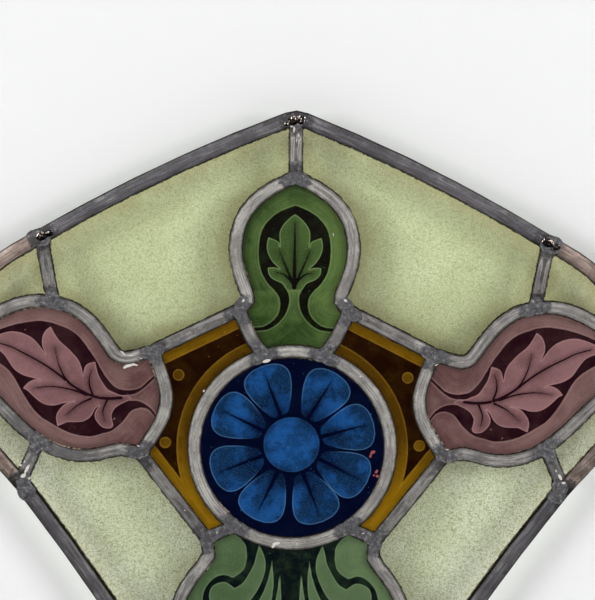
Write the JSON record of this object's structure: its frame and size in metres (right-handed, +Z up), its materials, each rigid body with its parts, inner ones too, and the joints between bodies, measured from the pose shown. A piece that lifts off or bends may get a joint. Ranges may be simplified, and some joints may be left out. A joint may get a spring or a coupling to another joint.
{
  "type": "stained glass window panel",
  "caption": "Flat kite-shaped leaded light with rounded ears: painted flower roundel, four leaf lobes and two wings in a pale glass field, held in a rebate.",
  "frame": {"origin": "back face of the border came at the bottom tip, where the panel's foot sits in its rebate", "axes": "+Z up the panel's middle line to the apex, +Y out of the back, +X to the right seen from the front, which looks along -Y"},
  "size_m": [0.4544, 0.006, 0.5509],
  "materials": {
    "lead": "dull grey lead came with solder",
    "glass_pale_green": "pale green, finely mottled",
    "glass_blue": "painted blue flower on navy",
    "glass_amber": "amber bands on dark brown paint",
    "glass_green": "green with dark painted leaf work",
    "glass_purple": "mauve with dark painted leaf work"
  },
  "bodies": {
    "root": {"came_border_top": "lead", "came_border_bottom": "lead", "came_border_left": "lead", "came_border_right": "lead", "came_roundel": "lead", "came_apex": "lead", "came_foot": "lead", "came_lobe_top_left": "lead", "came_lobe_top_right": "lead", "came_lobe_bottom_left": "lead", "came_lobe_bottom_right": "lead", "came_lobe_upper_left": "lead", "came_lobe_upper_right": "lead", "came_lobe_lower_left": "lead", "came_lobe_lower_right": "lead", "came_lobe_end_left": "lead", "came_lobe_end_right": "lead", "came_wing_upper_left": "lead", "came_wing_upper_right": "lead", "came_wing_lower_left": "lead", "came_wing_lower_right": "lead", "came_tie_upper_left": "lead", "came_tie_upper_right": "lead", "came_tie_lower_left": "lead", "came_tie_lower_right": "lead", "came_ear_upper_left": "lead", "came_ear_upper_right": "lead", "came_ear_lower_left": "lead", "came_ear_lower_right": "lead", "came_bulb_left": "lead", "came_bulb_right": "lead", "glass_roundel": "glass_blue", "glass_lobe_top": "glass_green", "glass_lobe_bottom": "glass_green", "glass_lobe_left": "glass_purple", "glass_lobe_right": "glass_purple", "glass_wing_left": "glass_amber", "glass_wing_right": "glass_amber", "glass_field_upper_left": "glass_pale_green", "glass_field_upper_right": "glass_pale_green", "glass_corner_upper_left": "glass_pale_green", "glass_corner_upper_right": "glass_pale_green", "glass_corner_lower_left": "glass_pale_green", "glass_corner_lower_right": "glass_pale_green", "glass_field_lower_left": "glass_pale_green", "glass_field_lower_right": "glass_pale_green", "glass_tail_left": "glass_pale_green", "glass_tail_right": "glass_pale_green"}
  },
  "joints": []
}
